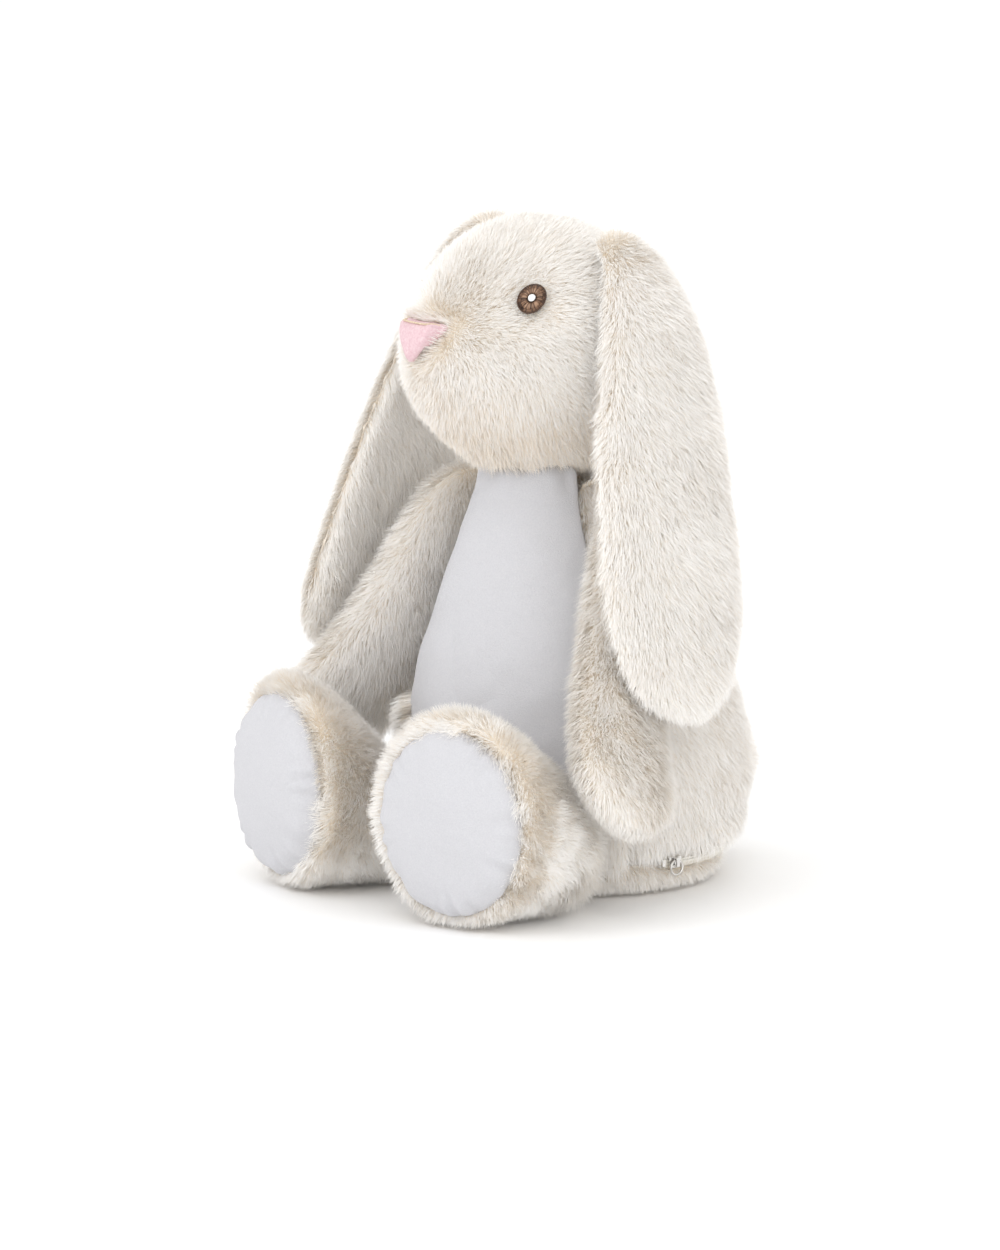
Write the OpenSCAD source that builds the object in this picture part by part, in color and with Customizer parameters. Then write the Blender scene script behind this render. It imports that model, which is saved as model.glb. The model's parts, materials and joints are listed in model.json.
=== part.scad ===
// Seated plush rabbit with long hanging ears, a velour tummy and velour soles.
// The front of the toy faces -Y, its left side is +X, and it sits on the plane Z = 0.
// The origin is the middle of the seat, on the floor.

/* [Body] */
// Full width of the body at its widest ring
body_w = 166; // [150:1:170]
// Full depth of the body at its widest ring
body_d = 164; // [150:1:168]
// Height of the body from the floor to the neck
body_h = 195; // [190:1:195]
// Thickness of the fur fabric with its pile pressed flat
pile = 5; // [3:0.5:6]
// Thickness of the velour fabric
velour = 1.6; // [1:0.1:2.5]
// Half-angle of the tummy panel, measured from the front
tummy_half = 64; // [50:1:75]

/* [Seat and zip] */
// Radius of the fur seat panel
seat_r = 68; // [66:0.5:69]
// Height of the seat panel's side wall
seat_h = 15; // [13:0.5:16]
// Outside diameter of the pull ring
ring_d = 8; // [7:0.5:9]
// Wire diameter of the pull ring
ring_wire = 1.1; // [0.8:0.1:1.4]

/* [Head] */
// Full width of the head, without the ears
head_w = 122; // [116:1:124]
// Depth of the head from its middle to the back
head_back = 61; // [58:1:62]
// Half-height of the head
head_half_h = 61.5; // [60:0.5:62]
// How far the head looks to its own right
head_turn = 6; // [0:1:8]
// How far the muzzle stands out past the round of the head
muzzle = 11; // [6:1:14]

/* [Ears] */
// Half-width of the ear at its widest
ear_half_w = 43.5; // [38:0.5:46]
// Thickness of the ear's fur panel
ear_fur = 9; // [6:0.5:10]
// Thickness of the ear's lining panel
ear_lining_t = 6; // [4:0.5:7]
// How far the tip of the left ear hangs forward of its root
ear_left_sweep = 0; // [0:1:4]
// How far the tip of the right ear hangs forward of its root
ear_right_sweep = 20; // [10:1:22]

/* [Arms] */
// Length of the arm from the shoulder seam to the paw
arm_len = 147; // [130:1:148]
// How far the left arm hangs forward of straight down
arm_left_rest = 24; // [20:1:26]
// How far the right arm hangs forward of straight down
arm_right_rest = 24; // [20:1:26]

/* [Legs] */
// Half-width of the round sole
sole_half_w = 47; // [42:1:48]
// Half-height of the round sole
sole_half_h = 50.5; // [46:0.5:51]
// Length of the leg from the hip seam to the sole
leg_len = 64; // [60:1:66]
// How far each leg points out to its side
leg_splay = 12; // [8:1:14]

/* [Hidden] */
$fn = 48;

seam = 0.15;            // gap left between two fabric pieces of one body at their seam
fur_colour = [0.95, 0.92, 0.87];
velour_colour = [0.93, 0.93, 0.95];
filling_colour = [0.98, 0.98, 0.98];
pink = [0.94, 0.80, 0.82];
brown = [0.42, 0.29, 0.22];
steel = [0.78, 0.78, 0.80];
tape_colour = [0.90, 0.88, 0.84];

// Body rings, floor to neck: height, half-width share, half-depth share, shift along Y
BODY = [[19, 0.835, 0.845, 0.5], [34, 0.955, 0.96, 1], [56, 1, 1, 0], [82, 0.975, 0.975, -3],
    [106, 0.885, 0.905, -6], [130, 0.765, 0.80, -8], [155, 0.64, 0.675, -11],
    [176, 0.53, 0.57, -13], [188, 0.46, 0.50, -15], [195, 0.41, 0.45, -16]];

neck_front = 1.5;       // rise of the neck's front rim, to meet the round of the head
neck_back = 11;         // further rise at its back

head_y = -27;
head_z = 257.5;
muzzle_dir = -6;        // the muzzle's middle, in degrees above the horizontal
muzzle_spread = 62;     // angle over which the muzzle fades into the round of the head

// Ear stations from root to tip: outward X, Y, Z, half-width share, thickness share
EAR = [[36, -18, 310.5, 0.28, 0.4], [49.5, -18, 305, 0.40, 0.7], [60.5, -18, 293, 0.54, 0.9],
    [71, -19, 274, 0.70, 1], [80, -22, 250, 0.84, 1], [89, -26, 222, 0.95, 1],
    [97, -29, 193, 1, 1], [103, -31, 164, 1.02, 1], [108, -32.5, 138, 0.97, 1],
    [112, -33, 117, 0.82, 0.95], [114, -33, 102, 0.57, 0.8], [115, -33, 93, 0.18, 0.4]];
ear_cup = 7;            // how far the ear's long edges curl in towards the head

// Arm stations from root to paw: distance from the shoulder, half-width, half-thickness, bow
ARM = [[-24, 5, 4, 0], [-20, 15, 7.5, 0], [-8, 24, 11, 0], [12, 28, 12.5, 0], [42, 29, 13, 0],
    [76, 30, 13.5, 0], [104, 33, 14.5, 3], [126, 32, 14.5, 8], [140, 22, 11, 11], [147, 6, 4, 12]];
shoulder = [62, -20, 171];
arm_out = 16;           // lean of the hanging arm away from the body
arm_toe_out = 12;       // lean of the raised arm away from straight ahead

// Leg stations from hip to sole: share of length, half-width share, half-height share
LEG = [[0, 0.36, 0.28], [0.05, 0.63, 0.46], [0.18, 0.84, 0.62], [0.42, 0.95, 0.81],
    [0.66, 1, 0.95], [0.86, 1.035, 1.02], [1, 0.99, 0.985]];
hip = [50, -72];
hip_skew = 18;          // how much further back the leg reaches at its outer side

zip_z = 16;             // middle of the zip's teeth above the floor
zip_start = -6;         // left end of the zip, in degrees from +X towards the back
zip_end = 186;          // right end of the zip
zip_r = seat_r + 1.2;   // radius of the teeth
slider_angle = -2;      // where the closed slider rests

// ---- curves and rings ----

function row(list, i) = list[min(max(i, 0), len(list) - 1)];

// A smooth curve through the rows of a list, t running from 0 to len - 1
function through(list, t) =
    let (i = min(floor(t), len(list) - 2), f = t - i)
    let (a = row(list, i - 1), b = row(list, i), c = row(list, i + 1), d = row(list, i + 2))
    0.5 * (2 * b + (c - a) * f + (2 * a - 5 * b + 4 * c - d) * f * f
        + (3 * b - a - 3 * c + d) * f * f * f);

function steps(n) = [for (i = [0:n]) i / n];

function unit(v) = v / norm(v);

function flat(list) = [for (part = list) for (item = part) item];

function mean(points) = [for (k = [0:2]) [for (p = points) p[k]] * [for (p = points) 1] / len(points)];

// ---- solids made from grids of points ----

// Twice the signed volume tells which way the faces of a closed surface point
function face_sum(points, faces) =
    [for (f = faces) cross(points[f[0]], points[f[1]]) * points[f[2]]] * [for (f = faces) 1];

module closed(points, faces)
    polyhedron(points, face_sum(points, faces) < 0 ? faces : [for (f = faces) [f[2], f[1], f[0]]]);

// Two triangles for each cell of a grid of m rows by n columns, whose first point is number start
function grid_faces(m, n, start, wrap, turned) =
    [for (i = [0:m - 2]) for (j = [0:n - (wrap ? 1 : 2)])
        let (k = (j + 1) % n, a = start + i * n + j, b = start + i * n + k)
        for (f = [[a, b, b + n], [a, b + n, a + n]]) turned ? [f[2], f[1], f[0]] : f];

function strip(a, b, turned) =
    [for (f = [[a[0], a[1], b[1]], [a[0], b[1], b[0]]]) turned ? [f[2], f[1], f[0]] : f];

// A solid through closed rings, capped at both ends
module loft(rings) {
    m = len(rings);
    n = len(rings[0]);
    points = concat(flat(rings), [mean(rings[0]), mean(rings[m - 1])]);
    first = [for (j = [0:n - 1]) [m * n, (j + 1) % n, j]];
    last = [for (j = [0:n - 1]) [m * n + 1, (m - 1) * n + j, (m - 1) * n + (j + 1) % n]];
    closed(points, concat(grid_faces(m, n, 0, true, false), first, last));
}

// A panel of fabric between two grids of points with four free edges
module panel(outer, inner) {
    m = len(outer);
    n = len(outer[0]);
    g = m * n;
    ends = [for (j = [0:n - 2]) for (i = [0, m - 1])
        for (f = strip([i * n + j, i * n + j + 1], [g + i * n + j, g + i * n + j + 1], i == 0)) f];
    sides = [for (i = [0:m - 2]) for (j = [0, n - 1])
        for (f = strip([i * n + j, (i + 1) * n + j], [g + i * n + j, g + (i + 1) * n + j], j > 0)) f];
    closed(concat(flat(outer), flat(inner)),
        concat(grid_faces(m, n, 0, false, false), grid_faces(m, n, g, false, true), ends, sides));
}

// A cup of fabric between two sets of closed rings: an open rim at the first, shut at the last
module cup(outer, inner) {
    m = len(outer);
    n = len(outer[0]);
    g = m * n;
    rim = [for (j = [0:n - 1]) for (f = strip([j, (j + 1) % n], [g + j, g + (j + 1) % n], true)) f];
    tip = [for (j = [0:n - 1]) [2 * g, (m - 1) * n + j, (m - 1) * n + (j + 1) % n]];
    pit = [for (j = [0:n - 1]) [2 * g + 1, g + (m - 1) * n + (j + 1) % n, g + (m - 1) * n + j]];
    closed(concat(flat(outer), flat(inner), [mean(outer[m - 1]), mean(inner[m - 1])]),
        concat(grid_faces(m, n, 0, true, false), grid_faces(m, n, g, true, true), rim, tip, pit));
}

// ---- body ----

// A point of the body: t runs from floor to neck, angle from the front towards +X, in by depth
function body_point(t, angle, depth) =
    let (r = through(BODY, t * (len(BODY) - 1)))
    let (neck = pow(max(0, r[0] - 150) / 45, 2) * (neck_front + neck_back * pow((1 - cos(angle)) / 2, 1.3)))
    [(body_w / 2 * r[1] - depth) * sin(angle), r[3] - (body_d / 2 * r[2] - depth) * cos(angle),
        r[0] * body_h / 195 + neck];

function body_grid(from, to, depth, low = 0, high = 1, rows = 11, columns = 10) =
    [for (i = steps(rows)) [for (j = steps(columns))
        body_point(low + (high - low) * i, from + (to - from) * j, depth)]];

module tummy_panel() color(velour_colour)
    panel(body_grid(-tummy_half, tummy_half, 0.6), body_grid(-tummy_half, tummy_half, 0.6 + velour));

module back_panel_left() color(fur_colour)
    panel(body_grid(tummy_half + seam, 180 - seam, 0), body_grid(tummy_half + seam, 180 - seam, pile));

module back_panel_right() color(fur_colour) mirror([1, 0, 0])
    panel(body_grid(tummy_half + seam, 180 - seam, 0), body_grid(tummy_half + seam, 180 - seam, pile));

pod_gap = 0.8;          // slack between a filling and the fabric round it

function pod_ring(t, depth, drop) =
    [for (j = [0:23]) body_point(t, 15 * j, pile + pod_gap + depth) - [0, 0, drop]];

module body_pod() color(filling_colour)
    loft(concat([pod_ring(0, 8, BODY[0][0] * body_h / 195 - seat_h - 0.3)],
        [for (i = steps(8)) pod_ring(0.02 + 0.86 * i, 0.6, 0)]));

module seat_panel() color(fur_colour) {
    rotate_extrude() polygon([[0, 0], [seat_r - 16, 0], [seat_r - 9, 1.2], [seat_r - 4, 4.2],
        [seat_r - 1, 8], [seat_r, 11.5], [seat_r, seat_h], [0, seat_h]]);
    // In front, where there is no zip, the wall runs on up to the tummy's lower seam
    rotate([0, 0, 189]) rotate_extrude(angle = 162) translate([seat_r - 7, seat_h - 1])
        square([6.5, BODY[0][0] * body_h / 195 - 0.2 - seat_h + 1]);
}

// The tail is a round tuft that opens against the back, rings running from its root to its tip
tail_r = 15;
tail_y = body_d / 2 + 0.8;
tail_z = 44;
tail_root = -25;        // how far round the ball the tail is cut off, in degrees

function tail_rings(depth, from = tail_root) = [for (i = steps(6)) let (a = from + (86 - from) * i)
    [for (j = [0:19]) [(tail_r - depth) * cos(a) * cos(18 * j),
        tail_y + (tail_r - depth) * sin(a) - tail_r * sin(tail_root),
        tail_z + (tail_r - depth) * cos(a) * sin(18 * j)]]];

module tail_cover() color(fur_colour) cup(tail_rings(0), tail_rings(pile));

module tail_filling() color(filling_colour) loft(tail_rings(pile + pod_gap, tail_root + 10));

// ---- zip round the back of the seat ----

module zip_arc(r_in, r_out, low, high, from = zip_start, to = zip_end)
    rotate([0, 0, from]) rotate_extrude(angle = to - from)
        translate([r_in, low]) square([r_out - r_in, high - low]);

module zip_tape_lower() color(tape_colour)
    zip_arc(seat_r + 0.15, seat_r + 0.75, seat_h - 2, zip_z - 0.9);

module zip_tape_upper() color(tape_colour)
    zip_arc(seat_r + 0.15, seat_r + 0.75, zip_z + 0.9, zip_z + 2.8);

module zip_teeth_lower() color(tape_colour)
    zip_arc(zip_r - 0.3, zip_r + 0.9, zip_z - 1.2, zip_z - 0.1);

module zip_teeth_upper() color(tape_colour)
    zip_arc(zip_r - 0.3, zip_r + 0.9, zip_z + 0.1, zip_z + 1.2);

module zip_stop(angle) color(steel)
    zip_arc(zip_r - 0.4, zip_r + 1.5, zip_z - 1.6, zip_z + 1.6, angle - 0.7, angle + 0.7);

module zip_stop_left() zip_stop(zip_start - 0.9);

module zip_stop_right() zip_stop(zip_end + 0.9);

slider_r = zip_r + 1.2;
ring_r = ring_d / 2;
ring_x = slider_r + 1.9;
ring_z = zip_z + 1.65 - ring_r;

// A die-cast slider: a plate outside the teeth with a bridge that holds the ring
module zip_slider() color(steel) rotate([0, 0, slider_angle]) {
    translate([slider_r, -3.6, zip_z - 2.6]) cube([1, 7.2, 5.2]);
    translate([slider_r + 1, -0.9, zip_z + 1.9]) cube([2.3, 1.8, 0.7]);
    translate([slider_r + 1, -0.9, zip_z - 1.9]) cube([2.3, 1.8, 0.7]);
    translate([slider_r + 2.6, -0.9, zip_z - 1.9]) cube([0.7, 1.8, 4.5]);
}

module zip_pull_ring() color(steel) rotate([0, 0, slider_angle])
    translate([ring_x, 0, ring_z]) rotate([0, 90, 0]) rotate_extrude()
        translate([ring_r - ring_wire / 2, 0]) circle(d = ring_wire, $fn = 24);

// ---- head ----

// A point of the head: angle runs from the front over the crown, side from -90 to 90 is across
function head_point(angle, side, depth) =
    let (off = (angle > 180 ? angle - 360 : angle) - muzzle_dir)
    let (bump = muzzle * pow(cos(min(90, abs(off) * 90 / muzzle_spread)), 2) * pow(cos(side), 3))
    let (r = 1 / sqrt(pow(cos(angle) / head_back, 2) + pow(sin(angle) / head_half_h, 2)))
    [(head_w / 2 - depth) * sin(side), head_y - (r + bump - depth) * cos(side) * cos(angle),
        head_z + (r + bump - depth) * cos(side) * sin(angle)];

gusset_from = 4;        // the gusset runs from the nose over the crown to the nape
gusset_to = 205;
gusset_side = 24;       // half-width of the gusset at the crown, in degrees across

// Where the side panels end: on the gusset over the crown, and on the middle line below the chin
function seam_side(angle) =
    let (share = (angle - gusset_from) / (gusset_to - gusset_from))
    share > 0 && share < 1 ? gusset_side * pow(sin(180 * share), 0.6) : 0;

function gusset_grid(depth) = [for (i = steps(14)) let (a = gusset_from + (gusset_to - gusset_from) * i)
    [for (j = steps(4)) head_point(a, (seam_side(a) + 0.3) * (2 * j - 1) * 0.985, depth)]];

function head_side_rings(depth, n = 26) = [for (i = steps(6)) [for (j = [0:n - 1])
    let (a = 360 * j / n, s = seam_side(a) + 0.6)
    head_point(a, s + (86 - s) * i, depth)]];

// Turns a piece made on the level head to where the head looks
module on_head() translate([0, head_y, 0]) rotate([0, 0, -head_turn]) translate([0, -head_y, 0]) children();

module head_gusset() color(fur_colour) on_head()
    panel(gusset_grid(0), gusset_grid(pile));

module head_side_left() color(fur_colour) on_head()
    cup(head_side_rings(0), head_side_rings(pile));

module head_side_right() color(fur_colour) on_head() mirror([1, 0, 0])
    cup(head_side_rings(0), head_side_rings(pile));

module head_filling() color(filling_colour) on_head()
    loft([for (i = [0:12]) [for (j = [0:19])
        head_point(18 * j, -84 + 14 * i, pile + pod_gap + 0.3)]]);

// A triangular patch of velour on the muzzle: wide along its top seam, pointed below
nose_top = 12;
nose_low = -5;
nose_half = 13;         // half-width of the top edge, in degrees across

function nose_grid(depth) = [for (i = steps(5)) let (a = nose_low + (nose_top - nose_low) * i)
    [for (j = steps(6)) head_point(a, nose_half * (0.12 + 0.88 * pow(i, 0.8)) * (2 * j - 1), depth)]];

module nose_patch() color(pink) on_head()
    panel(nose_grid(-velour - 0.2), nose_grid(-0.2));

// An embroidered eye: a satin-stitched oval lying on the fur, tilted with the cheek
eye_side = 45.5;
eye_rise = 40;          // turns the eye up the side of the head
eye_half_l = 7.6;
eye_half_w = 6;
eye_tilt = -38;
eye_t = 1.2;

function eye_centre(lift) = head_point(eye_rise, eye_side, -lift);

// Direction that the eye faces, from the slope of the head around it
function eye_normal() = unit(cross(head_point(eye_rise + 4, eye_side, 0) - head_point(eye_rise - 4, eye_side, 0),
    head_point(eye_rise, eye_side + 4, 0) - head_point(eye_rise, eye_side - 4, 0)));

module on_eye(lift) {
    n = eye_normal();
    d = n[0] > 0 ? n : -n;
    translate(eye_centre(0) + lift * d)
        rotate([0, 0, atan2(d[1], d[0])]) rotate([0, acos(d[2]), 0]) rotate([0, 0, eye_tilt]) children();
}

module oval(half_l, half_w, thick)
    linear_extrude(thick) polygon([for (a = [0:15:345]) [half_l * cos(a), half_w * sin(a)]]);

module eye() color(brown) on_eye(0.35) oval(eye_half_l, eye_half_w, eye_t);

module eye_glint() color("white") on_eye(0.35 + eye_t + 0.05)
    translate([-0.6, 0.3, 0]) oval(2.3, 1.8, 0.6);

module eye_left() on_head() eye();

module eye_right() on_head() mirror([1, 0, 0]) eye();

module eye_glint_left() on_head() eye_glint();

module eye_glint_right() on_head() mirror([1, 0, 0]) eye_glint();

// ---- ears ----

function ear_row(t) = through(EAR, t * (len(EAR) - 1));

function ear_centre(t, sweep = 0) =
    let (r = ear_row(t), drop = 1 - (r[2] - 93) / 215)
    [r[0] + sweep * 0.25 * drop, r[1] + sweep * drop * (2.2 - 3.2 * drop), r[2] + sweep * 0.3 * drop];

// Outward direction of the ear at a station
function ear_normal(t, sweep) =
    let (along = unit(ear_centre(min(1, t + 0.02), sweep) - ear_centre(max(0, t - 0.02), sweep)))
    unit([-along[2], 0, along[0]]);

// A point of the ear: t from root to tip, v from -1 at its back edge to 1 at its front edge
function ear_point(t, v, lift, sweep) =
    let (r = ear_row(t), n = ear_normal(t, sweep))
    ear_centre(t, sweep) + [0, -v * ear_half_w * r[3], 0]
        + n * (lift * r[4] * sqrt(max(0.02, 1 - v * v)) - ear_cup * r[3] * v * v + sign(lift) * 0.3);

function ear_grid(lift, sweep) =
    [for (i = steps(14)) [for (j = steps(8)) ear_point(i, cos(180 - 180 * j), lift, sweep)]];

module ear_outer(sweep) color(fur_colour)
    panel(ear_grid(ear_fur, sweep), ear_grid(0.001, sweep));

module ear_lining(sweep) color(fur_colour)
    panel(ear_grid(-ear_lining_t, sweep), ear_grid(-0.001, sweep));

module ear_outer_left() ear_outer(ear_left_sweep);

module ear_outer_right() mirror([1, 0, 0]) ear_outer(ear_right_sweep);

module ear_lining_left() ear_lining(ear_left_sweep);

module ear_lining_right() mirror([1, 0, 0]) ear_lining(ear_right_sweep);

// ---- arms ----

arm_down = [sin(arm_out), 0, -cos(arm_out)];
arm_ahead = [sin(arm_toe_out), -cos(arm_toe_out), 0];
arm_side = unit(cross(arm_ahead, arm_down));      // outward, square to the plane the arm swings in
arm_front = cross(arm_down, arm_side);

// A point of the left arm: t from root to paw, angle round its section from the outside
function arm_point(t, angle, rest, depth) =
    let (r = through(ARM, t * (len(ARM) - 1)))
    let (along = arm_down * cos(rest) + arm_front * sin(rest))
    let (across = arm_front * cos(rest) - arm_down * sin(rest))
    let (reach = r[0] * arm_len / 147 + (t < 0.05 ? depth : t > 0.95 ? -depth : 0))
    shoulder + along * reach + across * (max(1.5, r[1] - depth) * sin(angle))
        + arm_side * (r[3] + max(1, r[2] - depth) * cos(angle));

function arm_grid(from, to, rest, depth) =
    [for (i = steps(13)) [for (j = steps(7)) arm_point(i, from + (to - from) * j, rest, depth)]];

module arm_outer(rest) color(fur_colour)
    panel(arm_grid(-89, 89, rest, 0), arm_grid(-89, 89, rest, pile));

module arm_inner(rest) color(fur_colour)
    panel(arm_grid(91, 269, rest, 0), arm_grid(91, 269, rest, pile));

module arm_filling(rest) color(filling_colour)
    loft([for (i = steps(11)) [for (j = [0:15]) arm_point(0.02 + 0.96 * i, 22.5 * j, rest, pile + pod_gap + 0.3)]]);

module arm_outer_left() arm_outer(arm_left_rest);

module arm_inner_left() arm_inner(arm_left_rest);

module arm_filling_left() arm_filling(arm_left_rest);

module arm_outer_right() mirror([1, 0, 0]) arm_outer(arm_right_rest);

module arm_inner_right() mirror([1, 0, 0]) arm_inner(arm_right_rest);

module arm_filling_right() mirror([1, 0, 0]) arm_filling(arm_right_rest);

// ---- legs ----

leg_ahead = [sin(leg_splay), -cos(leg_splay), 0];
leg_side = [cos(leg_splay), sin(leg_splay), 0];

// A point of the left leg: t from hip to sole, angle round its section from the outside
function leg_point(t, angle, depth) =
    let (r = through(LEG, t * (len(LEG) - 1)))
    let (half_w = sole_half_w * r[1] - depth, half_h = sole_half_h * r[2] - depth)
    let (low = 0.35 + 6 * pow(1 - min(1, t * 3), 2))
    let (along = leg_len * r[0] - hip_skew * pow(1 - t, 1.5) * r[1] * cos(angle) + (t < 0.02 ? depth : 0))
    [hip[0], hip[1], low + sole_half_h * r[2]] + leg_ahead * along
        + leg_side * (half_w * cos(angle)) + [0, 0, half_h * sin(angle)];

function leg_rings(depth, from = 1, to = 0, rows = 9, n = 26) =
    [for (i = steps(rows)) [for (j = [0:n - 1]) leg_point(from + (to - from) * i, 360 * j / n, depth)]];

module leg_cover() color(fur_colour) cup(leg_rings(0), leg_rings(pile));

module leg_filling() color(filling_colour) loft(leg_rings(pile + pod_gap + 1.2, 0.95, 0.3, 7, 26));

// The velour sole: a shallow dome sewn inside the rim of the leg cover
sole_crown = 7;

function sole_rings(lift) = [for (i = steps(5)) let (s = 0.955 * (1 - i * 0.93))
    [for (j = [0:23]) let (r = LEG[len(LEG) - 1], a = 15 * j)
        [hip[0], hip[1], 0.35 + sole_half_h * r[2]]
            + leg_ahead * (leg_len + 0.4 + lift + sole_crown * (1 - pow(s / 0.955, 2.4)))
            + leg_side * (sole_half_w * r[1] * s * cos(a)) + [0, 0, sole_half_h * r[2] * s * sin(a)]]];

module sole_pad() color(velour_colour) cup(sole_rings(velour), sole_rings(0));

module leg_cover_left() leg_cover();

module leg_cover_right() mirror([1, 0, 0]) leg_cover();

module leg_filling_left() leg_filling();

module leg_filling_right() mirror([1, 0, 0]) leg_filling();

module sole_pad_left() sole_pad();

module sole_pad_right() mirror([1, 0, 0]) sole_pad();

back_panel_left();
back_panel_right();
tummy_panel();
body_pod();
seat_panel();
tail_cover();
tail_filling();
zip_tape_upper();
zip_tape_lower();
zip_teeth_upper();
zip_teeth_lower();
zip_stop_left();
zip_stop_right();
zip_slider();
zip_pull_ring();
head_gusset();
head_side_left();
head_side_right();
head_filling();
nose_patch();
eye_left();
eye_right();
eye_glint_left();
eye_glint_right();
ear_outer_left();
ear_outer_right();
ear_lining_left();
ear_lining_right();
arm_outer_left();
arm_outer_right();
arm_inner_left();
arm_inner_right();
arm_filling_left();
arm_filling_right();
leg_cover_left();
leg_cover_right();
sole_pad_left();
sole_pad_right();
leg_filling_left();
leg_filling_right();
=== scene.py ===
"""A seated plush rabbit: real pile on cloth-simulated stuffed skins, velour panels, stitched eyes and a zip."""

import json
import math

import bmesh
import bpy
import numpy as np
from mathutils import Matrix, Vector
from mathutils.bvhtree import BVHTree
from mathutils.kdtree import KDTree


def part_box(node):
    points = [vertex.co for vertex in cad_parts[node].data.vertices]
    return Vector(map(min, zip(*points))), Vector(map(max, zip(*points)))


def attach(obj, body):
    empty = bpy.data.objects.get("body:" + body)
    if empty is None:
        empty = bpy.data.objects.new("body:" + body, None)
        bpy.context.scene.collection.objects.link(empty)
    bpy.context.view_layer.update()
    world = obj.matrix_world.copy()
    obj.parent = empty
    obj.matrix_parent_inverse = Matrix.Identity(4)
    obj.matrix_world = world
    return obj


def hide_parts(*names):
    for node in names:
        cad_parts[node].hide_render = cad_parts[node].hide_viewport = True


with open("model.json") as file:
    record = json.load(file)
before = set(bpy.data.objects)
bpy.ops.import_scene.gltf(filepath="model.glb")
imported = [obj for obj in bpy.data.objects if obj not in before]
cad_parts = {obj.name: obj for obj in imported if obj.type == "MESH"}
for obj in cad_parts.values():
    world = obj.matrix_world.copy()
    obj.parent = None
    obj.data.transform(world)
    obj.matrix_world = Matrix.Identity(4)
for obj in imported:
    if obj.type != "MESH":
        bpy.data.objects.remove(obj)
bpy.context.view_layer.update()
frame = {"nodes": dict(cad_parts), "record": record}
nodes = frame["nodes"]
SIDES = {"left": 1, "right": -1}     # which way along X each side lies
DOWN = np.array([0, 0, -1.0])


# ---- camera, lights and floor ----

VIEW_AZIMUTH, VIEW_ELEVATION = math.radians(50), math.radians(10)
DISTANCE = 4.0
FRAME_TALL = 0.58962                  # height of the picture at the aim point, in metres
MIDDLE = Vector((0, -0.030, 0.150))   # of the rabbit, which is right of and above the picture's own middle
OFF_RIGHT, OFF_UP = 0.01557, 0.02689

# Each light's azimuth and elevation in degrees, its distance and size in metres, and its power in watts
LIGHTS = {"key": (5, 45, 1.9, 1.5, 8.4), "fill": (78, 14, 1.9, 1.3, 3.6), "back": (205, 50, 2.0, 1.2, 4)}
LIT_POINT = Vector((0, 0, 0.15))
WORLD_STRENGTH = 1.07
BOUNCES = 10                          # enough for light to get down into white fur


def look(azimuth, elevation):
    """Unit vectors of a view: back to the camera, right and up."""
    back = Vector((math.sin(azimuth) * math.cos(elevation), -math.cos(azimuth) * math.cos(elevation),
                   math.sin(elevation)))
    right = Vector((math.cos(azimuth), math.sin(azimuth), 0))
    return back, right, back.cross(right)


def place(obj, at, back, distance):
    """Stands a camera or a light off a point, and turns it to face that point."""
    obj.location = at + back * distance
    obj.rotation_mode = "QUATERNION"
    obj.rotation_quaternion = (-back).to_track_quat("-Z", "Y")
    bpy.context.scene.collection.objects.link(obj)


def make_camera():
    back, right, up = look(VIEW_AZIMUTH, VIEW_ELEVATION)
    data = bpy.data.cameras.new("camera")
    data.sensor_width = 36
    data.lens = data.sensor_width * DISTANCE / FRAME_TALL
    data.clip_start, data.clip_end = 0.1, 100
    camera = bpy.data.objects.new("camera", data)
    place(camera, MIDDLE - right * OFF_RIGHT - up * OFF_UP, back, DISTANCE)
    bpy.context.scene.camera = camera


def make_light():
    world = bpy.data.worlds.new("studio")
    world.use_nodes = True
    world.node_tree.nodes["Background"].inputs["Color"].default_value = (1, 1, 1, 1)
    world.node_tree.nodes["Background"].inputs["Strength"].default_value = WORLD_STRENGTH
    scene = bpy.context.scene
    scene.world = world
    for name, (azimuth, elevation, distance, size, power) in LIGHTS.items():
        data = bpy.data.lights.new(name, "AREA")
        data.size, data.energy = size, power
        back, _, _ = look(math.radians(azimuth), math.radians(elevation))
        place(bpy.data.objects.new(name, data), LIT_POINT, back, distance)
    scene.view_settings.view_transform = "Standard"
    scene.view_settings.look = "None"
    scene.cycles.diffuse_bounces = BOUNCES


# ---- materials ----

def material(name, colour, roughness=0.9, sheen=0.0, metallic=0.0, specular=0.3):
    """A Principled material with everything that is the same all over set on the shader itself."""
    mat = bpy.data.materials.new(name)
    mat.use_nodes = True
    shader = mat.node_tree.nodes["Principled BSDF"]
    shader.inputs["Base Color"].default_value = (*colour, 1)
    shader.inputs["Roughness"].default_value = roughness
    shader.inputs["Metallic"].default_value = metallic
    shader.inputs["Specular IOR Level"].default_value = specular
    shader.inputs["Sheen Weight"].default_value = sheen
    return mat


def add(mat, kind, **values):
    """Adds a node, with values for its inputs by name."""
    node = mat.node_tree.nodes.new(kind)
    for key, value in values.items():
        node.inputs[key].default_value = value
    return node


RAMP_FIRST, RAMP_LAST = 0.3, 0.7     # noise values that take a mottle's first and last colour


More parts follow.
